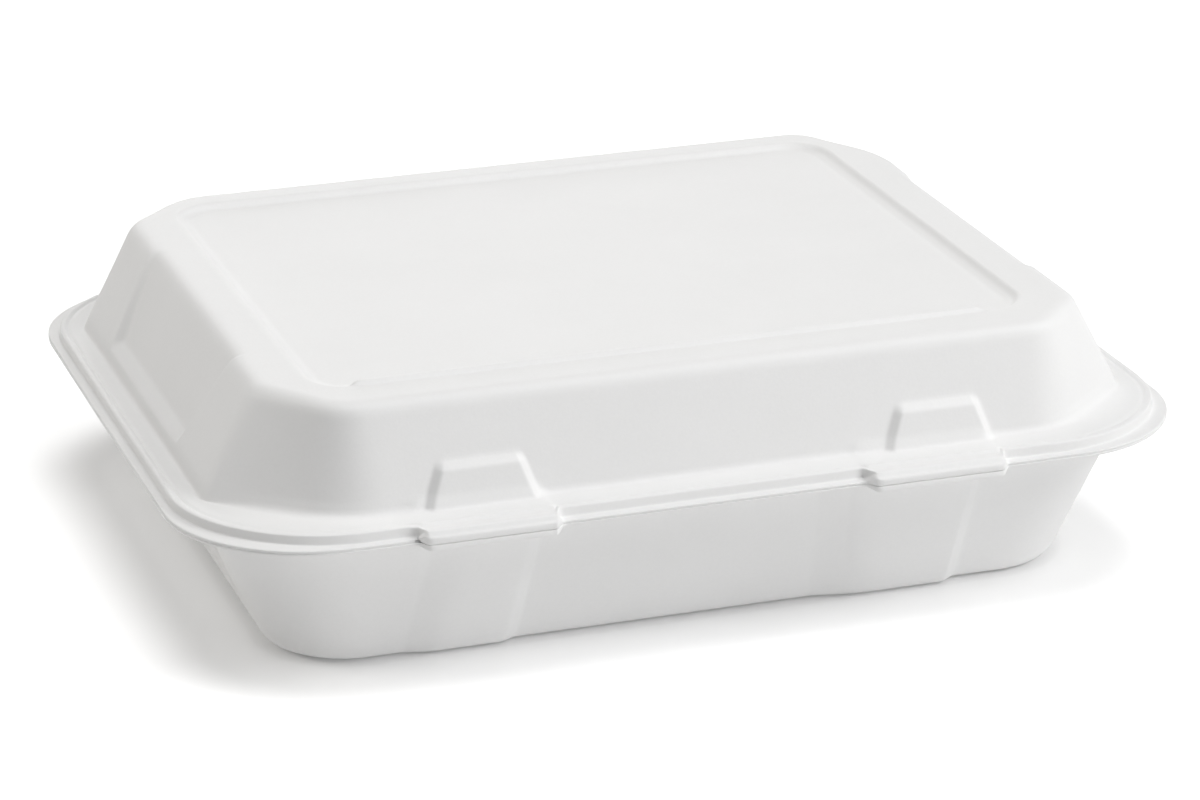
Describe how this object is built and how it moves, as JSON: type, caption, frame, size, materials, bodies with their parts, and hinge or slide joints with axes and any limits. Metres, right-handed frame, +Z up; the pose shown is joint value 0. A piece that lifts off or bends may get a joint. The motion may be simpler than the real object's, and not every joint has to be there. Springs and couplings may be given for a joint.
{
  "type": "hinged takeout container",
  "caption": "Shallow rectangular moulded-pulp food box with round corners; its domed lid turns on a crease along the back and closes with tab latches at the front.",
  "frame": {"origin": "on the ground under the middle of the rim", "axes": "+Z up, X along the hinge, -Y is the side with the latches"},
  "size_m": [0.235, 0.1866, 0.0623],
  "materials": {
    "pulp_tray": "matte moulded fibre",
    "pulp_lid": "matte moulded fibre"
  },
  "bodies": {
    "base": {"base_tray": "pulp_tray"},
    "lid": {"lid": "pulp_lid"}
  },
  "joints": [
    {"name": "lid_hinge", "type": "hinge", "parent": "base", "child": "lid", "pos_m": [0, 0.092, 0.0358], "axis": [-1, 0, 0], "range_deg": [0, 180]}
  ]
}
